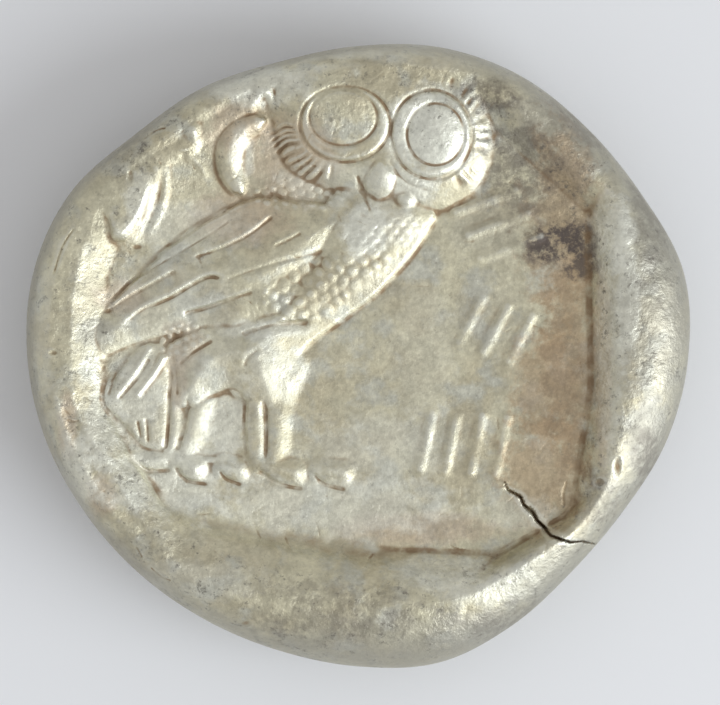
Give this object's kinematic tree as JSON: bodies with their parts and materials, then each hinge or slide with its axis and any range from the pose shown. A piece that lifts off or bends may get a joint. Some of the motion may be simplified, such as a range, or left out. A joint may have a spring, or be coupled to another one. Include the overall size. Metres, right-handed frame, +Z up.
{
  "type": "tetradrachm coin",
  "caption": "Thick hand-struck silver coin lying flat, with a standing owl in a sunk square on top and a helmeted head in profile underneath.",
  "frame": {"origin": "under the middle of the coin's outline, on the surface that it lies on", "axes": "+Z up out of the owl side, +Y towards the owl's head, +X towards the side that the owl looks over"},
  "size_m": [0.025, 0.0236, 0.0055],
  "materials": {
    "silver": "struck silver, worn bright on the high points and toned brown in the recesses"
  },
  "bodies": {
    "root": {"coin": "silver"}
  },
  "joints": []
}
